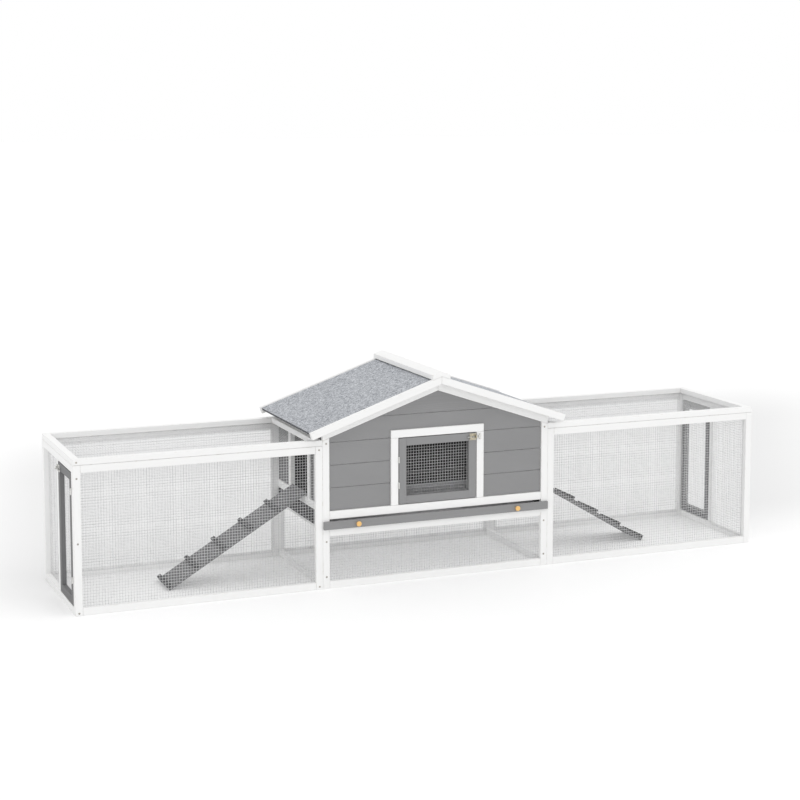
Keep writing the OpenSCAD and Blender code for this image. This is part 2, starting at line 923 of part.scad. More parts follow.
// Cleats across the board, spaced evenly from the first one down to the foot
module ramp_cleats() {
    step = (ramp_len - cleat_w - cleat_start) / (cleat_count - 1);
    color(grey_paint) on_left_ramp() for (i = [0 : cleat_count - 1])
        span([cleat_start + i * step, -ramp_w / 2, ramp_top],
            [cleat_start + i * step + cleat_w, ramp_w / 2, ramp_top + cleat_h]);
}

module ramp_hinge_leaves() {
    color(bright_zinc) ramp_hinge_places() ramp_leaf();
}

module left_ramp_board() {
    ramp_board();
}

module left_ramp_cleats() {
    ramp_cleats();
}

module left_ramp_hinge_leaves() {
    ramp_hinge_leaves();
}

module right_ramp_board() {
    mirror([1, 0, 0]) ramp_board();
}

module right_ramp_cleats() {
    mirror([1, 0, 0]) ramp_cleats();
}

module right_ramp_hinge_leaves() {
    mirror([1, 0, 0]) ramp_hinge_leaves();
}

// ---- What is drawn ------------------------------------------------------

front_frame();
back_frame();
front_siding();
back_siding();
door_surround();
gable_trims();
side_frames();
side_panels();
tray_skirts();
tray_runners();
underfloor_meshes();
ridge_beam();
roof_left_panel();
roof_right_panel();
roof_felt();
ridge_cap();
bargeboards();
left_run_front_frame();
left_run_back_frame();
left_run_end_frame();
left_run_lid_frame();
left_run_front_mesh();
left_run_back_mesh();
left_run_end_mesh();
left_run_lid_mesh();
right_run_front_frame();
right_run_back_frame();
right_run_end_frame();
right_run_lid_frame();
right_run_front_mesh();
right_run_back_mesh();
right_run_end_mesh();
right_run_lid_mesh();
fixed_hinge_leaves();
bolt_keepers();
frame_screws();
front_door_frame();
front_door_mesh();
front_door_hinge_leaves();
front_door_bolt_case();
left_door_frame();
left_door_mesh();
left_door_hinge_leaves();
left_door_bolt_case();
right_door_frame();
right_door_mesh();
right_door_hinge_leaves();
right_door_bolt_case();
front_door_bolt();
left_door_bolt();
right_door_bolt();
tray_pan();
tray_front();
tray_knobs();
left_ramp_board();
left_ramp_cleats();
left_ramp_hinge_leaves();
right_ramp_board();
right_ramp_cleats();
right_ramp_hinge_leaves();
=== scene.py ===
# %% [markdown]
# # Dressing an outdoor rabbit run
#
# The object is a small gabled hutch between two low wire-mesh runs. A CAD model already holds every
# board, door and bolt at its real size. This lesson gives each of them the surface of the real thing:
# painted softwood, mineral roofing felt, welded mesh, zinc hardware and turned pine.
#
# The CAD model is loaded first and stays fixed. The places of all the pieces are read from it.

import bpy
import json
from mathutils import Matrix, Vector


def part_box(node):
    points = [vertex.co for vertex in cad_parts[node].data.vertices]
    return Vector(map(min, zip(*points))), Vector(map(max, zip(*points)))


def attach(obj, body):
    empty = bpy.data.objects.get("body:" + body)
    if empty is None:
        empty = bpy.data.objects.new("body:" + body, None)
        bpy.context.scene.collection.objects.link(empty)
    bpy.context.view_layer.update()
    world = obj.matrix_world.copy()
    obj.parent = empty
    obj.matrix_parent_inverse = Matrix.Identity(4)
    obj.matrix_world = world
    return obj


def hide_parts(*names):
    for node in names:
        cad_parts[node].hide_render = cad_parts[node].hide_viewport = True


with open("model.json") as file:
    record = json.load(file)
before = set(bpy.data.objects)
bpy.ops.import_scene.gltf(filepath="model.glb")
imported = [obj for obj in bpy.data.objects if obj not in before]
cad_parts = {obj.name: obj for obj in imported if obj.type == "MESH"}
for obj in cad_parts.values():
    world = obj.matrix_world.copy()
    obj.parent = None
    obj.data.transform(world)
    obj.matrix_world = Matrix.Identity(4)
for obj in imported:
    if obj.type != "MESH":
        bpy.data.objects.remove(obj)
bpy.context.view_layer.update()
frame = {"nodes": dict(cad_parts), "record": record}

# %% Libraries
import json
import math
import random

import bmesh
import bpy
from mathutils import Matrix, Vector

chance = random.Random(11)
print("Blender", bpy.app.version_string)

# %% [markdown]
# The CAD record says which body each node moves with and which finish it wears. Two dictionaries
# keep those answers at hand, so that the lesson can work through whole groups of pieces at once.

# %% Which body and which finish each node has
nodes = frame["nodes"]
record = frame["record"]
bodies = record["behaviour"]["bodies"]
body_of = {node: body for body, members in bodies.items() for node in members}
slot_of = {part["node"]: part["material_slot"] for part in record["subparts"]}


def nodes_in(slot):
    """The CAD nodes that wear one finish, in the record's order."""
    return [node for node, worn in slot_of.items() if worn == slot]


for worn in sorted(set(slot_of.values())):
    print(f"{worn}: {len(nodes_in(worn))} nodes")

# %% [markdown]
# ## The camera
#
# The photograph was taken from the front and left with a long lens, far enough away for the long
# rails to look nearly parallel. Its uprights hardly lean, which a camera that looks down can't do
# alone, so a small vertical shift of the lens takes part of the tilt away.

# %% Place the camera
PHOTO_WIDTH = 800
FOCAL_PIXELS = 1819.5
CAMERA_AT = Vector((-2.9947, -7.1952, 2.0653))
CAMERA_YAW = 0.3885
CAMERA_TILT = 0.1173
LENS_DROP = 0.125

camera_data = bpy.data.cameras.new("camera")
camera_data.sensor_width = 36.0
camera_data.lens = camera_data.sensor_width * FOCAL_PIXELS / PHOTO_WIDTH
camera_data.shift_y = -LENS_DROP
camera_data.clip_end = 200.0
camera = bpy.data.objects.new("camera", camera_data)
camera.location = CAMERA_AT
camera.rotation_euler = (math.pi / 2 - CAMERA_TILT, 0.0, -CAMERA_YAW)
bpy.context.scene.collection.objects.link(camera)
bpy.context.scene.camera = camera
print(f"Lens {camera_data.lens:.1f} mm")

# %% [markdown]
# ## Light and floor
#
# A product studio wraps the object in white. The world gives that even light, a little weaker than
# the white that the camera sees behind the object, and one very broad sun from the front adds the
# soft difference between the front, the top and the ends.

# %% Light the studio
AMBIENT = 0.905
SUN_STRENGTH = 0.6
SUN_SPREAD = math.radians(55)
SUN_FROM = Vector((0.3, -0.5, 1.3))


def light_world():
    """White behind the object, and an even, slightly weaker light on it."""
    world = bpy.data.worlds.new("studio")
    bpy.context.scene.world = world
    world.use_nodes = True
    tree = world.node_tree
    tree.nodes.clear()
    seen = tree.nodes.new("ShaderNodeBackground")
    seen.inputs["Strength"].default_value = 1.0
    lit = tree.nodes.new("ShaderNodeBackground")
    lit.inputs["Strength"].default_value = AMBIENT
    for background in (seen, lit):
        background.inputs["Color"].default_value = (1.0, 1.0, 1.0, 1.0)
    rays = tree.nodes.new("ShaderNodeLightPath")
    choose = tree.nodes.new("ShaderNodeMixShader")
    output = tree.nodes.new("ShaderNodeOutputWorld")
    tree.links.new(rays.outputs["Is Camera Ray"], choose.inputs["Fac"])
    tree.links.new(lit.outputs[0], choose.inputs[1])
    tree.links.new(seen.outputs[0], choose.inputs[2])
    tree.links.new(choose.outputs[0], output.inputs["Surface"])


def light_sun():
    """A broad sun, as soft as a large diffuser."""
    data = bpy.data.lights.new("diffuser", "SUN")
    data.energy = SUN_STRENGTH
    data.angle = SUN_SPREAD
    sun = bpy.data.objects.new("diffuser", data)
    sun.rotation_euler = SUN_FROM.to_track_quat("Z", "Y").to_euler()
    bpy.context.scene.collection.objects.link(sun)


light_world()
light_sun()
bpy.context.scene.view_settings.view_transform = "Standard"

# %% [markdown]
# ## Tools for shader nodes
#
# Every finish below is procedural. One helper adds a node, sets its options and feeds its inputs,
# so that a material reads like a recipe. Another starts an empty node group: an effect that several
# finishes share is built once as a group and placed in each material with its own values.

# %% Add nodes and groups
def put(tree, kind, feeds=None, **options):
    """Adds a shader node, sets its options and fills its inputs with values or links."""
    made = tree.nodes.new(kind)
    for option, value in options.items():
        setattr(made, option, value)
    for socket, value in (feeds or {}).items():
        if isinstance(value, bpy.types.NodeSocket):
            tree.links.new(value, made.inputs[socket])
        else:
            made.inputs[socket].default_value = value
    return made


def effect(name, takes, gives):
    """Starts a node group. takes lists (label, kind, value), gives lists the outputs' labels."""
    tree = bpy.data.node_groups.new(name, "ShaderNodeTree")
    for label, kind, value in takes:
        socket = tree.interface.new_socket(label, in_out="INPUT", socket_type="NodeSocket" + kind)
        socket.default_value = value
    for label in gives:
        tree.interface.new_socket(label, in_out="OUTPUT", socket_type="NodeSocketFloat")
    return tree, tree.nodes.new("NodeGroupInput").outputs, tree.nodes.new("NodeGroupOutput").inputs


def place(tree, group, **values):
    """Puts a node group in a material; values name its inputs, with _ for a space."""
    made = put(tree, "ShaderNodeGroup", node_tree=group)
    for label, value in values.items():
        socket = made.inputs[label.replace("_", " ")]
        if isinstance(value, bpy.types.NodeSocket):
            tree.links.new(value, socket)
        else:
            socket.default_value = value
    return made.outputs


print("Node helpers ready")

# %% Small sums and mixes
def calc(tree, operation, first, second):
    """A Math node with two inputs."""
    return put(tree, "ShaderNodeMath", {0: first, 1: second}, operation=operation).outputs[0]


def plus(tree, total, value, share):
    """Adds a share of a value to a total."""
    return calc(tree, "ADD", total, calc(tree, "MULTIPLY", value, share))


def stretch(tree, vector, scale):
    """Scales a vector by three factors; a small factor along the grain draws it out."""
    return put(tree, "ShaderNodeVectorMath", {0: vector, 1: scale}, operation="MULTIPLY").outputs[0]


def noise(tree, vector, scale, detail=2.0):
    """Soft noise from 0 to 1 with features of 1 / scale metres."""
    feeds = {"Vector": vector, "Scale": scale, "Detail": detail}
    return put(tree, "ShaderNodeTexNoise", feeds).outputs["Fac"]


NOISE_RANGE = (0.3, 0.7)


def ramp(tree, value, low, high, to_low=0.0, to_high=1.0):
    """Maps low..high to to_low..to_high and holds the ends."""
    feeds = {"Value": value, "From Min": low, "From Max": high, "To Min": to_low, "To Max": to_high}
    return put(tree, "ShaderNodeMapRange", feeds).outputs[0]


def mix(tree, mask, colour, other):
    """Goes from colour to other as the mask goes from 0 to 1."""
    return put(tree, "ShaderNodeMix", {0: mask, 6: colour, 7: other}, data_type="RGBA").outputs[2]


def shade(colour, factor):
    """A darker or lighter tone of a colour, as four numbers."""
    return tuple(min(1.0, part * factor) for part in colour) + (1.0,)


print("Math helpers ready; most noise lies within", NOISE_RANGE)

# %% [markdown]
# ## Softwood under paint
#
# The sticks are planed spruce with a thin coat of paint. Close up, the growth rings stand proud of
# the soft wood between them and show through the film as long, faint lines. Those lines must follow
# each stick, so the meshes will carry a vector called "grain" that runs in metres along their own
# length, and a number called "stick" that differs from one stick to the next.

# %% Growth rings and fibres
STICKS_APART = (3.1, 0.7, 1.3)
ACROSS_RINGS = (0.0, 1.0, 0.6)
SWIRL_DRAWN_OUT = (0.07, 1.0, 1.0)
SWIRL_SCALE = 14.0
SWIRL_TURNS = 9.0
LATE_WOOD_POWER = 2.5
FIBRES_DRAWN_OUT = (0.025, 1.0, 1.0)
FIBRE_SCALE = 1300.0
RING_RELIEF = 0.65
FIBRE_RELIEF = 0.35


def build_softwood():
    """Rings, fibres and their relief, drawn out along the stick."""
    tree, taken, given = effect(
        "softwood",
        [("Grain", "Vector", (0.0, 0.0, 0.0)), ("Stick", "Float", 0.0), ("Ring Width", "Float", 0.005)],
        ["Rings", "Fibres", "Relief"],
    )
    shift = {0: STICKS_APART, "Scale": taken["Stick"]}
    apart = put(tree, "ShaderNodeVectorMath", shift, operation="SCALE").outputs[0]
    feeds = {0: taken["Grain"], 1: apart}
    own = put(tree, "ShaderNodeVectorMath", feeds, operation="ADD").outputs[0]
    swirl = noise(tree, stretch(tree, own, SWIRL_DRAWN_OUT), SWIRL_SCALE, detail=1.0)
    feeds = {0: own, 1: ACROSS_RINGS}
    across = put(tree, "ShaderNodeVectorMath", feeds, operation="DOT_PRODUCT").outputs["Value"]
    turns = calc(tree, "DIVIDE", across, taken["Ring Width"])
    turns = plus(tree, turns, swirl, SWIRL_TURNS)
    wave = calc(tree, "MULTIPLY", calc(tree, "PINGPONG", turns, 0.5), 2.0)
    late = calc(tree, "POWER", wave, LATE_WOOD_POWER)
    fibres = noise(tree, stretch(tree, own, FIBRES_DRAWN_OUT), FIBRE_SCALE)
    relief = plus(tree, calc(tree, "MULTIPLY", late, RING_RELIEF), fibres, FIBRE_RELIEF)
    tree.links.new(late, given["Rings"])
    tree.links.new(fibres, given["Fibres"])
    tree.links.new(relief, given["Relief"])
    return tree


SOFTWOOD = build_softwood()
print("Group:", SOFTWOOD.name)

# %% [markdown]
# Paint adds two things of its own. The brush leaves fine, shallow strokes along the stick, and the
# film is a little thicker in some places than in others. On the eased corners of a stick it wears
# first, in short patches and never along a whole edge.

# %% Brush strokes and rubbed corners
STROKES_DRAWN_OUT = (0.05, 1.0, 1.0)
STROKE_SCALE = 620.0
CLOUD_DRAWN_OUT = (0.4, 1.0, 1.0)
CLOUD_SCALE = 11.0
WORN_SCALE = 60.0
WORN_BAND = (0.52, 0.68)


def build_paint_film():
    """Brush strokes as a height, and a slow cloud of thick and thin film."""
    takes = [("Grain", "Vector", (0.0, 0.0, 0.0))]
    tree, taken, given = effect("paint film", takes, ["Strokes", "Cloud"])
    strokes = noise(tree, stretch(tree, taken["Grain"], STROKES_DRAWN_OUT), STROKE_SCALE, detail=3.0)
    cloud = noise(tree, stretch(tree, taken["Grain"], CLOUD_DRAWN_OUT), CLOUD_SCALE, detail=3.0)
    tree.links.new(strokes, given["Strokes"])
    tree.links.new(cloud, given["Cloud"])
    return tree


def build_rubbed_corner():
    """Where the film has worn on the eased corners."""
    takes = [("Grain", "Vector", (0.0, 0.0, 0.0)), ("Corner", "Float", 0.0)]
    tree, taken, given = effect("rubbed corner", takes, ["Worn"])
    patches = ramp(tree, noise(tree, taken["Grain"], WORN_SCALE, detail=3.0), *WORN_BAND)
    tree.links.new(calc(tree, "MULTIPLY", patches, taken["Corner"]), given["Worn"])
    return tree


PAINT_FILM = build_paint_film()
RUBBED_CORNER = build_rubbed_corner()
print("Groups:", PAINT_FILM.name, "and", RUBBED_CORNER.name)

# %% Start a material
def new_finish(name):
    """A material, its node tree and its Principled shader."""
    material = bpy.data.materials.new(name)
    material.use_nodes = True
    tree = material.node_tree
    return material, tree, tree.nodes["Principled BSDF"]


def carried(tree, name):
    """The node that reads a value that the mesh carries."""
    return put(tree, "ShaderNodeAttribute", attribute_name=name).outputs


def dent(tree, shader, height, strength, depth):
    """Feeds a height in metres to the shader's normal."""
    feeds = {"Height": height, "Strength": strength, "Distance": depth}
    tree.links.new(put(tree, "ShaderNodeBump", feeds).outputs[0], shader.inputs["Normal"])


print("Material helpers ready")

# %% [markdown]
# The photograph shows a clean white and a mid grey on the same timber, and a darker grey on the
# ramps, on the tall doors and on the boards beside the doorways; on those boards the darker grey is
# painted shade. The cleats and the skirts beside the tray are darker still: a painted shadow on the
# cleats and painted shade on the skirts. One recipe with a few values makes them all: the colour, what
# shows where a corner is rubbed, how far rings and film change the tone, how deep the grain stands and
# how rough the film is. The paint is matte, so a board that is seen from low down doesn't turn pale.
# Behind the door and the doorways the hutch is nearly black, so the faces that look into it carry a
# mark and get a painted dark shade in place of their paint. The grooves of the siding carry another
# mark and a paler tone, a painted light that lifts the shade in them, as they hardly darken in the
# photograph.

# %% Mix the paints
WHITE = (0.905, 0.905, 0.9)
GREY = (0.288, 0.288, 0.291)
DARK_GREY = (0.185, 0.185, 0.188)
# The cleats' near black is a painted shadow line across the ramp.
CLEAT_PAINTED_SHADOW = (0.09, 0.09, 0.092)
# The skirts' near black is painted shade.
SKIRT_PAINTED_SHADE = (0.055, 0.055, 0.056)
# The painted dark shade on the faces that look into the hutch.
INTERIOR_PAINTED_SHADE = (0.055, 0.054, 0.052)
PAINT_SHINE = 0.2
DEEPEST = 0.5
RUBBED_SHARE = 0.35
# How much paler the painted light in the siding's grooves makes the grey.
GROOVE_PAINTED_LIGHT = 1.8
DULL_SPREAD = 0.12
STROKE_SHARE = 0.5
PAINT_RELIEF = 0.55


def painted_timber(name, colour, rubbed, ring_tone=0.07, grain_depth=0.00035, roughness=0.5):
    """Paint on planed softwood."""
    material, tree, shader = new_finish(name)
    grain = carried(tree, "grain")["Vector"]
    stick = carried(tree, "stick")["Fac"]
    wood = place(tree, SOFTWOOD, Grain=grain, Stick=stick)
    film = place(tree, PAINT_FILM, Grain=grain)
    worn = place(tree, RUBBED_CORNER, Grain=grain, Corner=carried(tree, "corner")["Fac"])["Worn"]
    tone = ramp(tree, stick, 0.0, 1.0, -0.5 * ring_tone, 0.5 * ring_tone)
    tone = plus(tree, tone, wood["Rings"], ring_tone)
    tone = calc(tree, "ADD", tone, ramp(tree, film["Cloud"], *NOISE_RANGE, 0.0, ring_tone))
    paint = mix(tree, tone, shade(colour, 1.0), shade(colour, DEEPEST))
    paint = mix(tree, calc(tree, "MULTIPLY", worn, RUBBED_SHARE), paint, shade(rubbed, 1.0))
    # Faces in the siding's grooves get a paler tone: painted light that lifts the shade in them.
    paint = mix(tree, carried(tree, "groove")["Fac"], paint, shade(colour, GROOVE_PAINTED_LIGHT))
    # Faces marked inside get a painted dark shade in place of their paint.
    painted_interior_shade = mix(tree, tone, shade(INTERIOR_PAINTED_SHADE, 1.0), shade(INTERIOR_PAINTED_SHADE, DEEPEST))
    paint = mix(tree, carried(tree, "inside")["Fac"], paint, painted_interior_shade)
    tree.links.new(paint, shader.inputs["Base Color"])
    shader.inputs["Specular IOR Level"].default_value = PAINT_SHINE
    dull = ramp(tree, film["Cloud"], *NOISE_RANGE, roughness, roughness + DULL_SPREAD)
    tree.links.new(dull, shader.inputs["Roughness"])
    height = plus(tree, wood["Relief"], film["Strokes"], STROKE_SHARE)
    dent(tree, shader, height, PAINT_RELIEF, grain_depth)
    return material


white_paint = painted_timber("white paint", WHITE, (0.62, 0.58, 0.5), ring_tone=0.03, roughness=0.42)
grey_paint = painted_timber("grey paint", GREY, (0.42, 0.4, 0.37))
siding_paint = painted_timber("siding paint", GREY, (0.42, 0.4, 0.37), ring_tone=0.09, grain_depth=0.0005)
dark_paint = painted_timber("dark grey paint", DARK_GREY, (0.34, 0.33, 0.3), roughness=0.55)
# The cleats get a painted shadow in place of a plain grey.
cleat_shadow_paint = painted_timber("cleat painted shadow", CLEAT_PAINTED_SHADOW, (0.3, 0.29, 0.27), roughness=0.55)
# The skirts get a painted shade in place of a plain grey.
skirt_shade_paint = painted_timber("skirt painted shade", SKIRT_PAINTED_SHADE, (0.2, 0.19, 0.18), roughness=0.55)
print("Paints:", white_paint.name, grey_paint.name, siding_paint.name, dark_paint.name)

# %% [markdown]
# ## Boards and sticks
#
# The CAD sticks have dead sharp edges, and in a render such edges look like paper. A planer and a
# sanding block always leave a corner a millimetre or so round, and that corner catches the light.
# So each timber node is copied, its triangles are joined back to whole faces, and its edges are
# bevelled. Two sticks that meet then show the fine shadow line of a real joint.

# %% Take a clean copy of a CAD node
WELD = 2e-5
FLAT = math.radians(0.5)
SHARP = math.radians(25)
SMALLEST_SOLID = 0.001


def clean_copy(node):
    """A CAD node as a bmesh with closed seams and whole faces."""
    shape = bmesh.new()
    shape.from_mesh(nodes[node].data)
    bmesh.ops.remove_doubles(shape, verts=shape.verts, dist=WELD)
    bmesh.ops.dissolve_limit(shape, angle_limit=FLAT, verts=shape.verts, edges=shape.edges)
    return shape


def loose_solids(shape):
    """Lists of the faces of each separate solid."""
    shape.faces.index_update()
    seen, found = set(), []
    for first in shape.faces:
        if first.index in seen:
            continue
        seen.add(first.index)
        solid, waiting = [], [first]
        while waiting:
            face = waiting.pop()
            solid.append(face)
            for near in [f for edge in face.edges for f in edge.link_faces]:
                if near.index not in seen:
                    seen.add(near.index)
                    waiting.append(near)
        found.append(solid)
    return found


def solid_boxes(node):
    """Lowest and highest corner of each separate solid of a CAD node."""
    shape = clean_copy(node)
    boxes = []
    for solid in loose_solids(shape):
        corners = [v.co for face in solid for v in face.verts]
        low = Vector(map(min, zip(*corners)))
        high = Vector(map(max, zip(*corners)))
        if (high - low).length > SMALLEST_SOLID:
            boxes.append((low, high))
    shape.free()
    return boxes


print("front_frame has", len(solid_boxes("front_frame")), "sticks")

# %% [markdown]
# Each stick's grain runs along its longest edge. The copy keeps three values for the shader: the
# grain vector, the stick's own number, and a mark on the bevelled corners.

# %% Give each stick its grain
def longest_direction(solid):
    """The direction of the longest sharp edge of a solid."""
    edges = {edge for face in solid for edge in face.edges}
    sharp = [edge for edge in edges if edge.calc_face_angle(0.0) > SHARP]
    longest = max(sharp or edges, key=lambda edge: (round(edge.calc_length(), 5), -edge.index))
    return (longest.verts[1].co - longest.verts[0].co).normalized()


def give_grain(shape):
    """Writes the grain vector and the stick's number on the vertices of each solid."""
    grain = shape.verts.layers.float_vector.new("grain")
    stick = shape.verts.layers.float.new("stick")
    shape.edges.index_update()
    for solid in loose_solids(shape):
        along = longest_direction(solid)
        side = along.orthogonal().normalized()
        flat = along.cross(side)
        number = chance.random()
        for vert in {v for face in solid for v in face.verts}:
            vert[grain] = (vert.co.dot(along), vert.co.dot(side), vert.co.dot(flat))
            vert[stick] = number


print("Grain helper ready")

# %% Ease the corners
def ease_corners(shape, radius, shortest):
    """Bevels the sharp edges and marks the new faces with the corner value."""
    sharp = [e for e in shape.edges if e.calc_face_angle(0.0) > SHARP and e.calc_length() > shortest]
    made = bmesh.ops.bevel(shape, geom=sharp, offset=radius, offset_type="OFFSET", segments=2,
                           profile=0.5, affect="EDGES", clamp_overlap=True)
    corner = shape.loops.layers.float.new("corner")
    for face in made["faces"]:
        for loop in face.loops:
            loop[corner] = 1.0
    return set(made["faces"])


def flat_face_normals(shape, rounded):
    """A normal per vertex that keeps wide faces flat and lets only the corners turn."""
    normals = []
    for vert in shape.verts:
        wide = [face for face in vert.link_faces if face not in rounded]
        faces = wide or list(vert.link_faces)
        total = sum((face.normal * face.calc_area() for face in faces), Vector())
        normals.append(total.normalized())
    return normals


print("Bevel helper ready")

# %% Mark inner faces and grooves
ROOM = Vector((0.0, 0.0, 0.5))
INNER_BOARDS = ("back_siding", "side_panels")
GROOVE_START = 0.0003
GROOVE_END = 0.0055


def looks_inside(node, face):
    """Whether a face of a wall looks into the hutch's room."""
    middle = face.calc_center_median()
    if node == "back_frame":
        lowest = min(vert.co.z for vert in face.verts)
        behind_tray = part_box("tray_pan")[0].z < lowest < middle.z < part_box("front_siding")[0].z
        return face.normal.y < -0.5 and behind_tray
    return node in INNER_BOARDS and face.normal.dot(ROOM - middle) > 0.05


def lies_in_groove(node, face):
    """Whether a face of the siding lies between the boards' fronts and their tongues."""
    if slot_of[node] != "grey_siding":
        return False
    front = max(abs(corner.y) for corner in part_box(node))
    return GROOVE_START < front - abs(face.calc_center_median().y) < GROOVE_END


def mark(shape, name, test, node):
    """Writes 1 on the corners of the faces that pass the test."""
    layer = shape.loops.layers.float.new(name)
    for face in shape.faces:
        if test(node, face):
            for loop in face.loops:
                loop[layer] = 1.0


print("Boards with an inner face:", len(INNER_BOARDS))

# %% Make a piece from a shape
SHORTEST_EDGE = 6


def add_piece(name, shape, material, node):
    """A Blender object with its material, moving with the body of a CAD node."""
    mesh = bpy.data.meshes.new(name)
    shape.to_mesh(mesh)
    shape.free()
    mesh.materials.append(material)
    piece = bpy.data.objects.new(name, mesh)
    bpy.context.scene.collection.objects.link(piece)
    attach(piece, body_of[node])
    return piece


def make_piece(name, shape, material, node):
    """A piece that stands for its CAD node."""
    piece = add_piece(name, shape, material, node)
    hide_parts(node)
    return piece


print("Piece helpers ready")

# %% Dress the timber
def dress_timber(node, material, radius):
    """An eased, grained copy of a timber node; edges of a few radii and less stay sharp."""
    shape = clean_copy(node)
    give_grain(shape)
    rounded = ease_corners(shape, radius, SHORTEST_EDGE * radius)
    shape.normal_update()
    # Faces that look into the room are marked for a painted dark shade.
    mark(shape, "inside", looks_inside, node)
    # Faces in the siding's grooves are marked for a painted lighter tone.
    mark(shape, "groove", lies_in_groove, node)
    normals = flat_face_normals(shape, rounded)
    for face in shape.faces:
        face.smooth = True
    piece = make_piece(node + ".timber", shape, material, node)
    piece.data.normals_split_custom_set_from_vertices(normals)
    return piece


PAINT_OF = {"white_timber": white_paint, "grey_timber": grey_paint, "grey_siding": siding_paint}
ARRIS = {"white_timber": 0.0018, "grey_timber": 0.0006, "grey_siding": 0.0002}
# On the boards beside the doorways the dark grey is painted shade; the ramps and doors wear it as paint.
OWN_PAINT = {"side_panels": dark_paint, "tray_skirts": skirt_shade_paint}
for side in ("left", "right"):
    OWN_PAINT[side + "_door_frame"] = dark_paint
    OWN_PAINT[side + "_ramp_board"] = dark_paint
    OWN_PAINT[side + "_ramp_cleats"] = cleat_shadow_paint
timber = []
for worn, paint in PAINT_OF.items():
    for node in nodes_in(worn):
        timber.append(dress_timber(node, OWN_PAINT.get(node, paint), ARRIS[worn]))
print("Timber pieces:", len(timber), "with", sum(len(p.data.polygons) for p in timber), "faces")

# %% [markdown]
# ## Roofing felt
#
# The felt is a bitumen sheet with pressed-in stone granules. From a step away it reads as a cool
# speckled grey, and close up as rough grit. Three sizes of noise do that: single granules, clumps of
# them, and slow patches where more dark bitumen shows. The grit is only on the top face, so the cut
# edge shows black bitumen, and the strip turned down over the eave is black as well, a painted shade.

# %% Stone granules
GRAIN_SCALE = 520.0
CLUMP_SCALE = 170.0
PATCH_SCALE = 60.0
GRAIN_SHARE = 0.2
CLUMP_SHARE = 0.5
PATCH_SHARE = 0.3
CLUMP_BAND = (0.35, 0.65)


def build_granules():
    """Speckle from dark to light, and the height of the grit."""
    takes = [("Place", "Vector", (0.0, 0.0, 0.0))]
    tree, taken, given = effect("granules", takes, ["Speckle", "Grit"])
    feeds = {"Vector": taken["Place"], "Scale": GRAIN_SCALE}
    grains = put(tree, "ShaderNodeTexVoronoi", feeds, feature="F1").outputs
    own_tone = put(tree, "ShaderNodeSeparateColor", {0: grains["Color"]}).outputs[0]
    clumps = ramp(tree, noise(tree, taken["Place"], CLUMP_SCALE), *CLUMP_BAND)
    patches = ramp(tree, noise(tree, taken["Place"], PATCH_SCALE, detail=3.0), *NOISE_RANGE)
    speckle = calc(tree, "MULTIPLY", own_tone, GRAIN_SHARE)
    speckle = plus(tree, speckle, clumps, CLUMP_SHARE)
    speckle = plus(tree, speckle, patches, PATCH_SHARE)
    tree.links.new(speckle, given["Speckle"])
    tree.links.new(calc(tree, "SUBTRACT", 1.0, grains["Distance"]), given["Grit"])
    return tree


GRANULES = build_granules()
print("Group:", GRANULES.name)

# %% Lay the felt
FELT_DARK = (0.08, 0.09, 0.11)
FELT_LIGHT = (0.745, 0.765, 0.8)
BITUMEN_AND_PAINTED_SHADE = (0.1, 0.105, 0.115)
TOP_FACE = (0.55, 0.8)
FELT_ROUGHNESS = (0.95, 0.75)
GRIT_RELIEF = 0.7
GRIT_DEPTH = 0.0009
FELT_EDGE = 0.0008


def mineral_felt():
    """Granule-faced roofing felt."""
    material, tree, shader = new_finish("mineral felt")
    where = put(tree, "ShaderNodeTexCoord").outputs
    granules = place(tree, GRANULES, Place=where["Object"])
    colour = mix(tree, granules["Speckle"], shade(FELT_DARK, 1.0), shade(FELT_LIGHT, 1.0))
    faces_up = put(tree, "ShaderNodeSeparateXYZ", {0: where["Normal"]}).outputs["Z"]
    # Faces that don't look up go black: bitumen on the cut edges, painted shade on the strip over the
    # eave.
    colour = mix(tree, ramp(tree, faces_up, *TOP_FACE), shade(BITUMEN_AND_PAINTED_SHADE, 1.0), colour)
    tree.links.new(colour, shader.inputs["Base Color"])
    roughness = ramp(tree, granules["Speckle"], 0.0, 1.0, *FELT_ROUGHNESS)
    tree.links.new(roughness, shader.inputs["Roughness"])
    dent(tree, shader, granules["Grit"], GRIT_RELIEF, GRIT_DEPTH)
    return material


felt = dress_timber("roof_felt", mineral_felt(), FELT_EDGE)
print("Felt faces:", len(felt.data.polygons))

# %% [markdown]
# ## Welded wire mesh
#
# Half-inch mesh has a wire about every 12 mm both ways, and the CAD panels only stand in for it with
# a coarse grid. Here every wire is a real one: the upright wires lie on one side, the level ones are
# welded across them, and each is bent by a fraction of a millimetre, because a sheet off a roll is
# never quite straight. The rollers of the welding machine also leave the wire a little flat, so its
# section is an oval that is wider in the plane of the panel.

# %% Draw a wire
WIRE = 0.0013
WIRE_FLAT = 0.0007
DOOR_PITCH = 0.012
RUN_PITCH = 0.0116
WIRE_SIDES = 8


def strand(shape, points, wide, thick, facing, sides=WIRE_SIDES):
    """A thin tube through a list of points, thick along facing and wide across it."""
    rings = []
    for i, point in enumerate(points):
        ahead = points[min(i + 1, len(points) - 1)] - points[max(i - 1, 0)]
        side = ahead.cross(facing).normalized() * wide / 2
        up = side.cross(ahead).normalized() * thick / 2
        angles = [2 * math.pi * k / sides for k in range(sides)]
        rings.append([shape.verts.new(point + math.cos(a) * side + math.sin(a) * up) for a in angles])
    for low, high in zip(rings, rings[1:]):
        for k in range(sides):
            face = shape.faces.new((low[k], low[k - 1], high[k - 1], high[k]))
            face.smooth = True
    shape.faces.new(rings[0])
    shape.faces.new(list(reversed(rings[-1])))


print("Wire", WIRE * 1000, "mm wide, pitch", RUN_PITCH * 1000, "mm")

# %% Weave a panel
BEND = 0.00022
BENDS = 5
CROSSING = 0.46


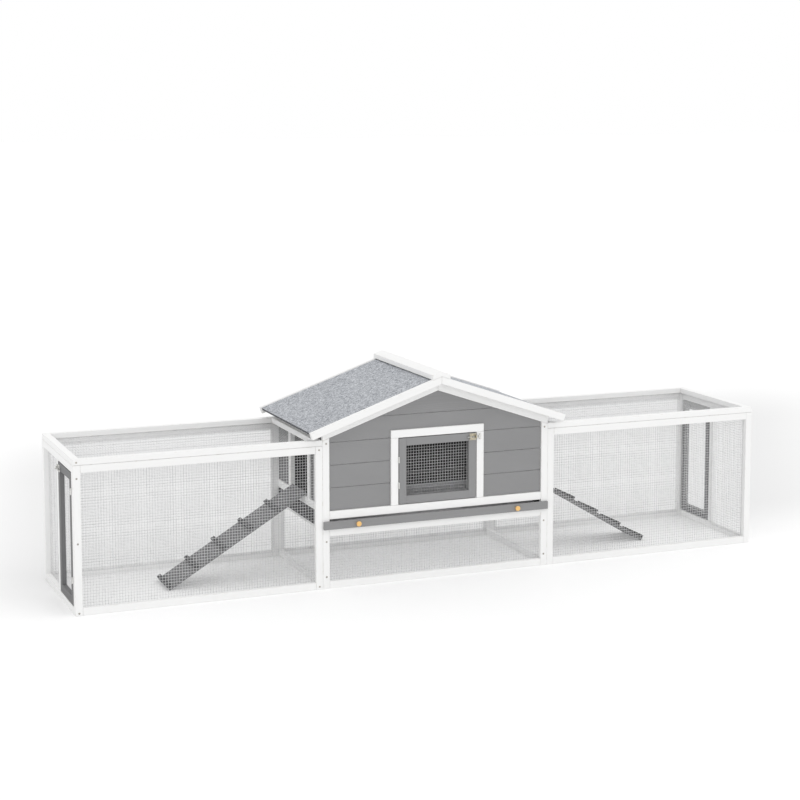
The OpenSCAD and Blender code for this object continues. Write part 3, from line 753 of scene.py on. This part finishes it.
def panel_axes(low, high):
    """The thin axis of a flat panel and its two long ones."""
    size = high - low
    thin = min(range(3), key=lambda axis: size[axis])
    return thin, [axis for axis in range(3) if axis != thin]


def wires_across(shape, low, high, thin, run, step, offset, pitch):
    """All the wires of a panel that run along one axis."""
    middle = (low[thin] + high[thin]) / 2 + offset
    facing = Vector((float(thin == 0), float(thin == 1), float(thin == 2)))
    reach = high[step] - low[step] - WIRE
    count = round(reach / pitch)
    for i in range(count + 1):
        points = []
        for k in range(BENDS):
            point = Vector((0.0, 0.0, 0.0))
            point[thin] = middle
            point[step] = low[step] + WIRE / 2 + reach * i / count
            if 0 < k < BENDS - 1 and 0 < i < count:
                point[step] += chance.uniform(-BEND, BEND)
            point[run] = low[run] + (high[run] - low[run]) * k / (BENDS - 1)
            points.append(point)
        strand(shape, points, WIRE, WIRE_FLAT, facing)
    return count + 1


def weld_panel(shape, low, high, pitch):
    """One panel: wires both ways, pressed a little into each other."""
    thin, (first, second) = panel_axes(low, high)
    apart = WIRE_FLAT * CROSSING
    made = wires_across(shape, low, high, thin, first, second, apart, pitch)
    return made + wires_across(shape, low, high, thin, second, first, -apart, pitch)


print("Panel helper ready")

# %% [markdown]
# The zinc on the wire is pale but not mirror-like, and it dulls in patches. Bright zinc is a metal,
# whose colour comes from what it reflects. Weathered zinc has a chalky skin on it that scatters the
# light instead, so each use of the recipe says how much of the metal still shows.

# %% Coat the wire with zinc
BLOOM_SCALE = 45.0
BLOOM_BAND = (0.35, 0.7)


def build_zinc_bloom():
    """Patches of dull zinc, and the crystals that hot-dipped sheet shows."""
    takes = [("Place", "Vector", (0.0, 0.0, 0.0)), ("Crystal Size", "Float", 0.01)]
    tree, taken, given = effect("zinc bloom", takes, ["Bloom", "Crystals"])
    count = calc(tree, "DIVIDE", 1.0, taken["Crystal Size"])
    cells = put(tree, "ShaderNodeTexVoronoi", {"Vector": taken["Place"], "Scale": count}, feature="F1")
    tone = put(tree, "ShaderNodeSeparateColor", {0: cells.outputs["Color"]}).outputs[0]
    bloom = ramp(tree, noise(tree, taken["Place"], BLOOM_SCALE, detail=4.0), *BLOOM_BAND)
    tree.links.new(bloom, given["Bloom"])
    tree.links.new(tone, given["Crystals"])
    return tree


ZINC_BLOOM = build_zinc_bloom()
DULL_EDGE = 0.7
BLOOM_RELIEF = 0.25
BLOOM_DEPTH = 0.00008


def zinc(name, bright, dull, rough, crystal_size=0.004, crystal_tone=0.0, metal=1.0):
    """Zinc-coated steel with patches of bloom; rough is for the bright zinc and for the dull."""
    material, tree, shader = new_finish(name)
    where = put(tree, "ShaderNodeTexCoord").outputs["Object"]
    bloom = place(tree, ZINC_BLOOM, Place=where, Crystal_Size=crystal_size)
    colour = mix(tree, bloom["Bloom"], shade(bright, 1.0), shade(dull, 1.0))
    crystals = calc(tree, "MULTIPLY", bloom["Crystals"], crystal_tone)
    colour = mix(tree, crystals, colour, shade(dull, DULL_EDGE))
    tree.links.new(colour, shader.inputs["Base Color"])
    tree.links.new(ramp(tree, bloom["Bloom"], 0.0, 1.0, *rough), shader.inputs["Roughness"])
    shader.inputs["Metallic"].default_value = metal
    dent(tree, shader, bloom["Bloom"], BLOOM_RELIEF, BLOOM_DEPTH)
    return material


wire_zinc = zinc("wire zinc", (0.76, 0.76, 0.765), (0.63, 0.632, 0.637), (0.45, 0.65), metal=0.1)
print("Materials:", wire_zinc.name)

# %% Hang the panels
def hang_mesh(node):
    """Real wires in the place of a CAD net, closer together on the runs than on the doors."""
    shape = bmesh.new()
    pitch = DOOR_PITCH if "door" in node else RUN_PITCH
    wires = sum(weld_panel(shape, low, high, pitch) for low, high in solid_boxes(node))
    make_piece(node + ".wires", shape, wire_zinc, node)
    return wires


print("Wires:", sum(hang_mesh(node) for node in nodes_in("wire_mesh")))

# %% [markdown]
# ## Staples
#
# The mesh is stapled to the inner faces of the frames. Each staple is a bent wire with a 10 mm crown
# over one mesh wire and two legs in the wood. One is set wherever a panel's rim lies on a stick, so
# the timber boxes are asked what is behind each place before a staple goes there.

# %% Find where a staple holds
STAPLE_PITCH = 0.084
STAPLE_INSET = 0.004
STAPLE_REACH = 0.004
TIMBER_BOXES = [box for slot in PAINT_OF for node in nodes_in(slot) for box in solid_boxes(node)]


def timber_behind(point):
    """Whether a point lies inside a stick."""
    return any(all(low[a] < point[a] < high[a] for a in range(3)) for low, high in TIMBER_BOXES)


def inner_side(low, high, thin):
    """The side of a panel that faces the inside: +1 or -1 along its thin axis."""
    return -1.0 if low[thin] + high[thin] > 0 else 1.0


def staple_places(low, high):
    """Middle, crown direction and outward direction of each staple on one panel."""
    thin, long_axes = panel_axes(low, high)
    inward = Vector((0.0, 0.0, 0.0))
    inward[thin] = inner_side(low, high, thin)
    for edge, across in (long_axes, reversed(long_axes)):
        crown = Vector((0.0, 0.0, 0.0))
        crown[edge] = 1.0
        for rim in (low[across] + STAPLE_INSET, high[across] - STAPLE_INSET):
            for i in range(1, int((high[edge] - low[edge]) / STAPLE_PITCH) + 1):
                spot = (low + high) / 2
                spot[across] = rim
                spot[edge] = low[edge] + (i - 0.5) * STAPLE_PITCH
                if timber_behind(spot - inward * STAPLE_REACH):
                    yield spot, crown, inward


print("Sticks to staple to:", len(TIMBER_BOXES))

# %% Drive the staples
CROWN = 0.01
LEG = 0.003
STAPLE_WIRE = 0.001
STAPLE_SIDES = 6
SHOULDER = 0.6


def drive_staples(node):
    """All the staples of one CAD net, as one piece on the same body."""
    shape = bmesh.new()
    count = 0
    for low, high in solid_boxes(node):
        for spot, crown, inward in staple_places(low, high):
            top = spot + inward * (WIRE_FLAT + STAPLE_WIRE / 2)
            foot = spot - inward * LEG
            half = crown * CROWN / 2
            soft = crown * STAPLE_WIRE
            bend = inward * STAPLE_WIRE * SHOULDER
            points = [foot - half, top - half - bend, top - half + soft]
            points += [top + half - soft, top + half - bend, foot + half]
            strand(shape, points, STAPLE_WIRE, STAPLE_WIRE, crown.cross(inward), STAPLE_SIDES)
            count += 1
    add_piece(node + ".staples", shape, staple_zinc, node)
    return count


staple_zinc = zinc("staple zinc", (0.7, 0.7, 0.69), (0.52, 0.52, 0.51), (0.35, 0.55), metal=0.5)
print("Staples:", sum(drive_staples(node) for node in nodes_in("wire_mesh")))

# %% [markdown]
# ## Hinges, bolts and keepers
#
# The hardware is pressed from zinc-plated strip. Its shape is already right in the CAD model and
# needs only fine bevels, smooth barrels and a plated surface. The plate of the bolt on the front
# door has the pale yellow tint of passivated zinc, and the others are plain. The rods are duller.

# %% Plate the hardware
METAL_EDGE = 0.00014
METAL_SHARP = math.radians(40)
METAL_CREASE = math.radians(35)


def dress_hardware(node, material):
    """A CAD metal piece with fine bevels and smooth round faces."""
    shape = clean_copy(node)
    sharp = [e for e in shape.edges if e.calc_face_angle(0.0) > METAL_SHARP]
    bmesh.ops.bevel(shape, geom=sharp, offset=METAL_EDGE, offset_type="OFFSET", segments=1,
                    affect="EDGES", clamp_overlap=True)
    for face in shape.faces:
        face.smooth = True
    piece = make_piece(node + ".metal", shape, material, node)
    piece.data.set_sharp_from_angle(angle=METAL_CREASE)
    return piece


bright_zinc = zinc("bright zinc", (0.82, 0.82, 0.8), (0.6, 0.6, 0.58), (0.22, 0.42))
rod_zinc = zinc("rod zinc", (0.5, 0.5, 0.48), (0.32, 0.32, 0.3), (0.3, 0.5))
yellow_zinc = zinc("yellow zinc", (0.7, 0.64, 0.5), (0.5, 0.45, 0.33), (0.28, 0.5), crystal_tone=0.3)
screw_zinc = zinc("screw zinc", (0.56, 0.53, 0.48), (0.38, 0.36, 0.33), (0.3, 0.5))
rods = [door + "_door_bolt" for door in ("front", "left", "right")]
hardware = []
for node in nodes_in("zinc_hardware"):
    hardware.append(dress_hardware(node, rod_zinc if node in rods else bright_zinc))
hardware += [dress_hardware("front_door_bolt_case", yellow_zinc)]
hardware += [dress_hardware(side + "_door_bolt_case", bright_zinc) for side in ("left", "right")]
print("Hardware pieces:", len(hardware))

# %% [markdown]
# ## Screws
#
# A screw head gives small hardware its scale. It is a low dome with a cross recess, made once: rings
# for the dome, a flat with a cross-shaped hole in it, and the walls of the recess below that hole.
# Copies of it then go to every place where the real object has a screw.

# %% Shape one screw head
DOME = [(1.0, 0.0), (0.97, 0.35), (0.86, 0.72), (0.7, 0.92)]
MOUTH = (0.56, 0.11)
RECESS_FLOOR = (0.4, 0.07)
RECESS_DEPTH = 0.35
HEAD_SIDES = 24
FRAME_HEAD = (0.004, 0.0012)
PLATE_HEAD = (0.0024, 0.0006)


def cross_outline(radius, shares, height):
    """The twelve corners of a cross, counter-clockwise; shares are its reach and half width."""
    reach, half = (share * radius for share in shares)
    corners = []
    for turn in range(4):
        a = turn * math.pi / 2
        for x, y in [(reach, half), (half, half), (half, reach)]:
            turned = (x * math.cos(a) - y * math.sin(a), x * math.sin(a) + y * math.cos(a))
            corners.append(Vector((*turned, height)))
    return corners


def screw_head(radius, height):
    """A domed head on the XY plane, with its axis on Z."""
    head = bmesh.new()
    rings = []
    for share, lift in DOME:
        ring = []
        for k in range(HEAD_SIDES):
            a = 2 * math.pi * k / HEAD_SIDES
            out = share * radius
            ring.append(head.verts.new((math.cos(a) * out, math.sin(a) * out, lift * height)))
        rings.append(ring)
    head.faces.new(rings[0])
    for low, high in zip(rings, rings[1:]):
        for k in range(HEAD_SIDES):
            head.faces.new((low[k - 1], low[k], high[k], high[k - 1])).smooth = True
    top = DOME[-1][1] * height
    bottom = top - RECESS_DEPTH * radius
    mouth = [head.verts.new(co) for co in cross_outline(radius, MOUTH, top)]
    floor = [head.verts.new(co) for co in cross_outline(radius, RECESS_FLOOR, bottom)]
    rim = [head.edges.new((a, b)) for a, b in zip(mouth, mouth[1:] + mouth[:1])]
    rim += [head.edges.get((rings[-1][k - 1], rings[-1][k])) for k in range(HEAD_SIDES)]
    bmesh.ops.triangle_fill(head, use_beauty=True, edges=rim, normal=(0.0, 0.0, 1.0))
    for k in range(len(mouth)):
        head.faces.new((mouth[k - 1], mouth[k], floor[k], floor[k - 1]))
    head.faces.new(floor)
    bmesh.ops.recalc_face_normals(head, faces=head.faces)
    shape = bpy.data.meshes.new("screw head")
    head.to_mesh(shape)
    head.free()
    return shape


frame_head = screw_head(*FRAME_HEAD)
plate_head = screw_head(*PLATE_HEAD)
print("A screw head has", len(frame_head.polygons), "faces")

# %% Turn screws into their places
def set_screws(shape, head, places):
    """Copies of a head at each (point, outward) place, each turned by chance."""
    for point, outward in places:
        turned = Matrix.Rotation(chance.uniform(0.0, math.pi / 2), 4, "Z")
        facing = outward.to_track_quat("Z", "Y").to_matrix().to_4x4()
        before = len(shape.verts)
        shape.from_mesh(head)
        shape.verts.ensure_lookup_table()
        move = Matrix.Translation(point) @ facing @ turned
        bmesh.ops.transform(shape, matrix=move, verts=shape.verts[before:])


def frame_screw_places():
    """Each CAD screw lies along Y, with its head on the outer face of the frames."""
    for low, high in solid_boxes("frame_screws"):
        outer = -1.0 if low.y + high.y < 0 else 1.0
        middle = (low + high) / 2
        middle.y = outer * (max(abs(low.y), abs(high.y)) - FRAME_HEAD[1])
        yield middle, Vector((0.0, outer, 0.0))


screws = bmesh.new()
set_screws(screws, frame_head, frame_screw_places())
make_piece("frame_screws.heads", screws, screw_zinc, "frame_screws")
print("Frame screws:", len(solid_boxes("frame_screws")))

# %% [markdown]
# The bolts and their keepers are screwed on as well: four small screws hold the plate of a bolt, one
# in each corner, and two hold a keeper, above and below its bridge. Their places follow from the
# box of each plate, whose inner side lies flat on the timber. The leaves of the door hinges stand in
# the gap beside the door, where no screw can be seen.

# %% Screw down the bolts and keepers
PLATE = 0.0015
END_DOORS_PAST = 1.0
CASE_SCREWS = 0.0095
KEEPER_SCREWS = 0.0092


def plate_places(low, high, insets, rise):
    """Screw places on a plate: at each inset from its middle, above and below the centre line."""
    middle = (low + high) / 2
    out = 0 if abs(middle.x) > END_DOORS_PAST else 1
    flat = 1 - out
    outward = Vector((0.0, 0.0, 0.0))
    outward[out] = math.copysign(1.0, middle[out])
    surface = min(abs(low[out]), abs(high[out])) + PLATE
    for inset in insets:
        for height in (-rise, rise):
            point = middle.copy()
            point[out] = outward[out] * surface
            point[flat] += inset
            point.z += height
            yield point, outward


def screw_plates(node, insets, rise):
    """The screws of all the plates of one CAD node."""
    shape = bmesh.new()
    for low, high in solid_boxes(node):
        set_screws(shape, plate_head, plate_places(low, high, insets, rise))
    add_piece(node + ".screws", shape, screw_zinc, node)


for door in ("front", "left", "right"):
    screw_plates(door + "_door_bolt_case", (-CASE_SCREWS, CASE_SCREWS), CASE_SCREWS)
screw_plates("bolt_keepers", (0.0,), KEEPER_SCREWS)
print("Plates screwed down")

# %% [markdown]
# ## The tray
#
# The pull-out tray is folded from galvanised sheet: a flat floor, low walls and a rim that is rolled
# over so that it has no sharp edge. It is drawn as a stack of rounded rectangles that climbs the
# outside, turns over the rim and goes down again inside. Each is given by how far it is set in from
# the CAD pan's sides, and by its height: below the top where the rim turns in, and above the bottom
# where the wall folds into the floor.

# %% Fold the tray
RIM = 0.0038
RIM_STEPS = 7
SHEET = 0.0012
FOLD = 0.0015
FOLD_EASE = 0.0004
TURNED_IN = [(RIM, RIM), (0.7 * RIM, 1.25 * RIM), (SHEET, 1.3 * RIM)]
INNER_FOLD = [(0.0, 0.004), (0.0008, 0.0022), (0.0025, SHEET)]
PAN_CORNER = 0.008
CORNER_STEPS = 5
TRAY_CREASE = math.radians(50)


def rounded_rectangle(low, high, inset, radius, height):
    """Points of a rectangle with round corners, counter-clockwise."""
    points = []
    x0, x1, y0, y1 = low.x + inset, high.x - inset, low.y + inset, high.y - inset
    corners = [(x1, y1, 0), (x0, y1, 1), (x0, y0, 2), (x1, y0, 3)]
    for x, y, quarter in corners:
        inner_x = x - radius if x == x1 else x + radius
        inner_y = y - radius if y == y1 else y + radius
        for k in range(CORNER_STEPS + 1):
            a = math.pi / 2 * (quarter + k / CORNER_STEPS)
            across, along = radius * math.cos(a), radius * math.sin(a)
            points.append(Vector((inner_x + across, inner_y + along, height)))
    return points


def fold_tray(low, high):
    """The pan as one closed skin."""
    top, bottom = high.z, low.z
    profile = [(FOLD, bottom), (FOLD_EASE, bottom + FOLD_EASE), (0.0, bottom + FOLD), (0.0, top - RIM)]
    for k in range(1, RIM_STEPS + 1):
        a = math.pi * k / RIM_STEPS
        profile.append((RIM / 2 - RIM / 2 * math.cos(a), top - RIM / 2 + RIM / 2 * math.sin(a)))
    profile += [(inset, top - drop) for inset, drop in TURNED_IN]
    profile += [(SHEET + inset, bottom + height) for inset, height in INNER_FOLD]
    shape = bmesh.new()
    rings = []
    for inset, height in profile:
        radius = PAN_CORNER - min(inset, PAN_CORNER / 2)
        points = rounded_rectangle(low, high, inset, radius, height)
        rings.append([shape.verts.new(p) for p in points])
    for outer, inner in zip(rings, rings[1:]):
        for k in range(len(outer)):
            shape.faces.new((outer[k - 1], outer[k], inner[k], inner[k - 1])).smooth = True
    shape.faces.new(list(reversed(rings[0])))
    shape.faces.new(rings[-1])
    return shape


SHEET_CRYSTALS = 0.014
tray_sheet = zinc("tray sheet", (0.97, 0.97, 0.98), (0.9, 0.9, 0.91), (0.5, 0.7),
                  SHEET_CRYSTALS, crystal_tone=0.1, metal=0.0)
tray = make_piece("tray_pan.folded", fold_tray(*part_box("tray_pan")), tray_sheet, "tray_pan")
tray.data.set_sharp_from_angle(angle=TRAY_CREASE)
print("Tray faces:", len(tray.data.polygons))

# %% [markdown]
# ## The knobs
#
# Two knobs are turned from pine and only lacquered, the one warm colour on the object. They are made
# from a lathe profile. The wood's rings run across the knob's face, because a turner holds the stick
# along the lathe.

# %% Lacquer the pine
PINE_PALE = (0.93, 0.58, 0.2)
PINE_DARK = (0.78, 0.36, 0.08)
PINE_RING = 0.0024
RING_CONTRAST = 0.55
LACQUER = 0.4
LACQUER_ROUGHNESS = (0.28, 0.42)
PINE_RELIEF = 0.2
PINE_DEPTH = 0.0001


def lacquered_pine():
    """Clear lacquer over pine."""
    material, tree, shader = new_finish("lacquered pine")
    grain = carried(tree, "grain")["Vector"]
    stick = carried(tree, "stick")["Fac"]
    wood = place(tree, SOFTWOOD, Grain=grain, Stick=stick, Ring_Width=PINE_RING)
    rings = calc(tree, "MULTIPLY", wood["Rings"], RING_CONTRAST)
    colour = mix(tree, rings, shade(PINE_PALE, 1.0), shade(PINE_DARK, 1.0))
    tree.links.new(colour, shader.inputs["Base Color"])
    roughness = ramp(tree, wood["Fibres"], *NOISE_RANGE, *LACQUER_ROUGHNESS)
    tree.links.new(roughness, shader.inputs["Roughness"])
    shader.inputs["Coat Weight"].default_value = LACQUER
    dent(tree, shader, wood["Relief"], PINE_RELIEF, PINE_DEPTH)
    return material


print("Knob colour", PINE_PALE)

# %% Turn the knobs
KNOB_PROFILE = [(0.0, 0.68), (0.08, 0.68), (0.13, 0.6), (0.2, 0.5), (0.3, 0.5), (0.4, 0.68), (0.5, 0.9),
                (0.62, 1.0), (0.75, 0.97), (0.87, 0.82), (0.95, 0.58), (0.99, 0.3)]
KNOB_SIDES = 40


def turn_knob(shape, low, high):
    """A knob that fills the box of the CAD knob, standing out along -Y."""
    grain = shape.verts.layers.float_vector["grain"]
    radius = (high.x - low.x) / 2
    middle = (low + high) / 2
    rings = []
    for out, share in KNOB_PROFILE:
        ring = []
        y = high.y - out * (high.y - low.y)
        for k in range(KNOB_SIDES):
            a = 2 * math.pi * k / KNOB_SIDES
            x = middle.x + radius * share * math.cos(a)
            z = middle.z + radius * share * math.sin(a)
            vert = shape.verts.new((x, y, z))
            vert[grain] = (y, x, z)
            ring.append(vert)
        rings.append(ring)
    for low_ring, high_ring in zip(rings, rings[1:]):
        for k in range(KNOB_SIDES):
            shape.faces.new((low_ring[k - 1], low_ring[k], high_ring[k], high_ring[k - 1])).smooth = True
    tip = shape.verts.new((middle.x, low.y, middle.z))
    tip[grain] = (low.y, middle.x, middle.z)
    for k in range(KNOB_SIDES):
        shape.faces.new((rings[-1][k - 1], rings[-1][k], tip)).smooth = True
    shape.faces.new(list(reversed(rings[0])))


knobs = bmesh.new()
knobs.verts.layers.float_vector.new("grain")
for knob_low, knob_high in solid_boxes("tray_knobs"):
    turn_knob(knobs, knob_low, knob_high)
bmesh.ops.recalc_face_normals(knobs, faces=knobs.faces)
make_piece("tray_knobs.turned", knobs, lacquered_pine(), "tray_knobs")
print("Knobs:", len(solid_boxes("tray_knobs")))

# %% [markdown]
# ## The floor
#
# The object stands on a plain pale floor that runs out of sight into the white behind it. It
# carries the soft shadow, so it is one large sheet with the faintest unevenness. Like a light table it
# gives off a little light, which keeps the shadows pale. Behind the object its colour and its glow are
# darkened: a painted shade, whose pale grey shows between the wires of the runs. The painted grey
# area is a fan, whose sides slant to the right.

# %% Lay the studio floor
FLOOR_REACH = 60.0
FLOOR_GLOW = 0.2
FLOOR_PALE = (0.8, 0.8, 0.8, 1.0)
FLOOR_DIM = (0.79, 0.79, 0.79, 1.0)
FLOOR_CLOUD_SCALE = 0.6
FLOOR_ROUGHNESS = (0.75, 0.85)
FLOOR_SHINE = 0.1
PAINTED_FLOOR_SHADE_DEPTH = 0.2
LEFT_SLANT = 0.19
LEFT_EDGE = (-2.3, -1.35)
RIGHT_SLANT = 0.6
RIGHT_EDGE = (3.0, 1.6)
NEAR_EDGE = (-0.4, 0.45)
FAR_EDGE = (4.0, 2.2)


def soft_step(tree, value, start, end):
    """0 before start, 1 after end and a soft turn at both."""
    feeds = {"Value": value, "From Min": start, "From Max": end}
    return put(tree, "ShaderNodeMapRange", feeds, interpolation_type="SMOOTHSTEP").outputs[0]


def painted_floor_shade(tree, where):
    """How far a painted shade darkens the floor behind the object, with a soft edge on all four sides."""
    spot = put(tree, "ShaderNodeSeparateXYZ", {0: where}).outputs
    left = plus(tree, spot["X"], spot["Y"], -LEFT_SLANT)
    right = plus(tree, spot["X"], spot["Y"], -RIGHT_SLANT)
    dark = soft_step(tree, left, *LEFT_EDGE)
    for value, edge in ((right, RIGHT_EDGE), (spot["Y"], NEAR_EDGE), (spot["Y"], FAR_EDGE)):
        dark = calc(tree, "MULTIPLY", dark, soft_step(tree, value, *edge))
    return calc(tree, "MULTIPLY", dark, PAINTED_FLOOR_SHADE_DEPTH)


def studio_floor():
    """A wide pale floor."""
    sheet = bmesh.new()
    bmesh.ops.create_grid(sheet, x_segments=8, y_segments=8, size=FLOOR_REACH)
    mesh = bpy.data.meshes.new("studio_floor")
    sheet.to_mesh(mesh)
    sheet.free()
    material, tree, shader = new_finish("studio floor")
    where = put(tree, "ShaderNodeTexCoord").outputs["Object"]
    cloud = ramp(tree, noise(tree, where, FLOOR_CLOUD_SCALE), *NOISE_RANGE)
    white, black = (1.0, 1.0, 1.0, 1.0), (0.0, 0.0, 0.0, 1.0)
    pale = mix(tree, cloud, FLOOR_PALE, FLOOR_DIM)
    # Painted shade: behind the object the floor's colour and glow go towards black.
    behind = painted_floor_shade(tree, where)
    tree.links.new(mix(tree, behind, pale, black), shader.inputs["Base Color"])
    tree.links.new(mix(tree, behind, white, black), shader.inputs["Emission Color"])
    tree.links.new(ramp(tree, cloud, 0.0, 1.0, *FLOOR_ROUGHNESS), shader.inputs["Roughness"])
    shader.inputs["Specular IOR Level"].default_value = FLOOR_SHINE
    shader.inputs["Emission Strength"].default_value = FLOOR_GLOW
    mesh.materials.append(material)
    floor = bpy.data.objects.new("studio_floor", mesh)
    bpy.context.scene.collection.objects.link(floor)


studio_floor()
print("Floor reach", FLOOR_REACH, "m")
